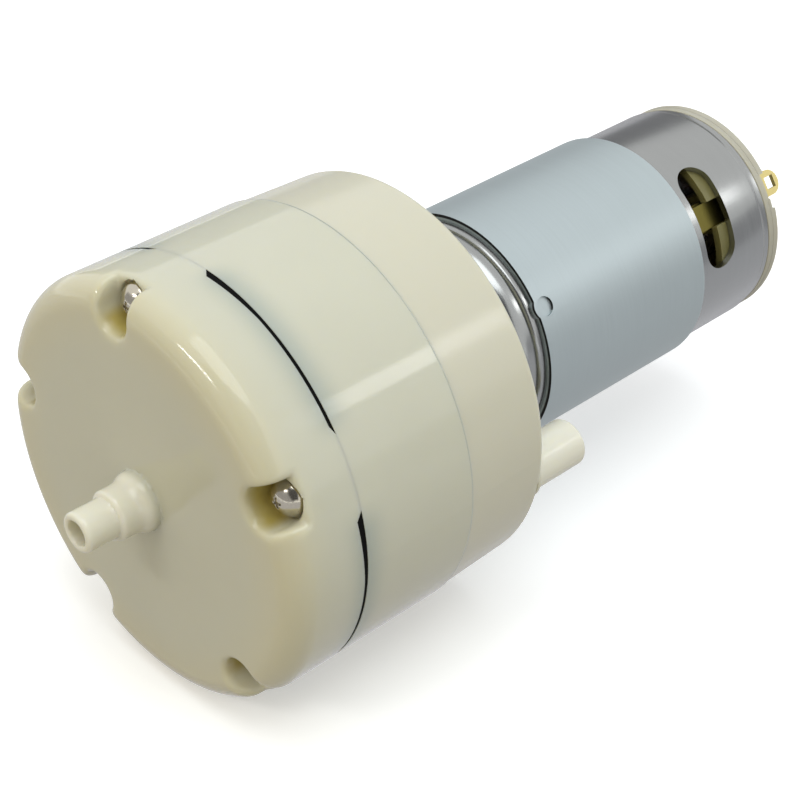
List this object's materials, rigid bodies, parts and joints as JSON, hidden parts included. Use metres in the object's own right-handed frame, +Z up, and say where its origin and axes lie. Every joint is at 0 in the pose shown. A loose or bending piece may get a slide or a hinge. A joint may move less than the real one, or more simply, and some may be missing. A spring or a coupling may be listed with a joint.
{
  "type": "diaphragm air pump",
  "caption": "Mini diaphragm air pump: round plastic head with a stepped outlet nozzle on its face and an inlet stub behind, driven by a can motor with spade terminals.",
  "frame": {"origin": "on the shaft's axis, at the middle of the motor's flux ring", "axes": "+Y along the shaft towards the motor's tail, so the outlet nozzle points to -Y; +Z up"},
  "size_m": [0.073, 0.1529, 0.073],
  "materials": {
    "ivory_plastic": "glossy, slightly translucent",
    "milky_plastic": "glossy",
    "black_rubber": "matte",
    "nickel_steel": "polished nickel plate",
    "ground_steel": "ground",
    "drawn_steel": "drawn and nickel plated",
    "zinc_steel": "zinc plated, satin",
    "black_steel": "black, satin",
    "copper": "enamelled",
    "brass": "satin",
    "black_plastic": "matte",
    "ferrite": "matte",
    "graphite": "matte",
    "nylon": "satin"
  },
  "bodies": {
    "pump_frame": {"head_cover": "ivory_plastic", "head_gasket": "black_rubber", "valve_plate": "milky_plastic", "inlet_valves": "black_rubber", "outlet_valves": "black_rubber", "diaphragm": "black_rubber", "pump_block": "ivory_plastic", "rear_housing": "ivory_plastic", "head_screws": "nickel_steel", "motor_screws": "nickel_steel", "front_bearing": "ground_steel", "rear_bearing": "ground_steel", "motor_can": "drawn_steel", "flux_ring": "zinc_steel", "magnets": "ferrite", "magnet_springs": "ground_steel", "end_cap": "nylon", "brush_boxes": "brass", "carbon_brushes": "graphite", "brush_springs": "ground_steel", "terminals": "brass"},
    "rotor": {"motor_shaft": "ground_steel", "armature_core": "black_steel", "windings": "copper", "commutator": "copper", "commutator_hub": "black_plastic", "bearing_inner_races": "ground_steel", "shaft_washers": "black_plastic", "eccentric_wheel": "brass", "grub_screw": "black_steel", "oblique_pin": "ground_steel"},
    "wobble": {"wobble_plate": "milky_plastic"}
  },
  "joints": [
    {"name": "motor_spin", "type": "hinge", "parent": "pump_frame", "child": "rotor", "pos_m": [0, 0, 0], "axis": [0, 1, 0], "continuous": true},
    {"name": "wobble_turn", "type": "hinge", "parent": "rotor", "child": "wobble", "pos_m": [0, -0.067, 0], "axis": [0, 0.9945, 0.1045], "continuous": true, "deforming": ["diaphragm"]}
  ],
  "couplings": [
    {"joint": "wobble_turn", "follows": "motor_spin", "ratio": -1}
  ]
}
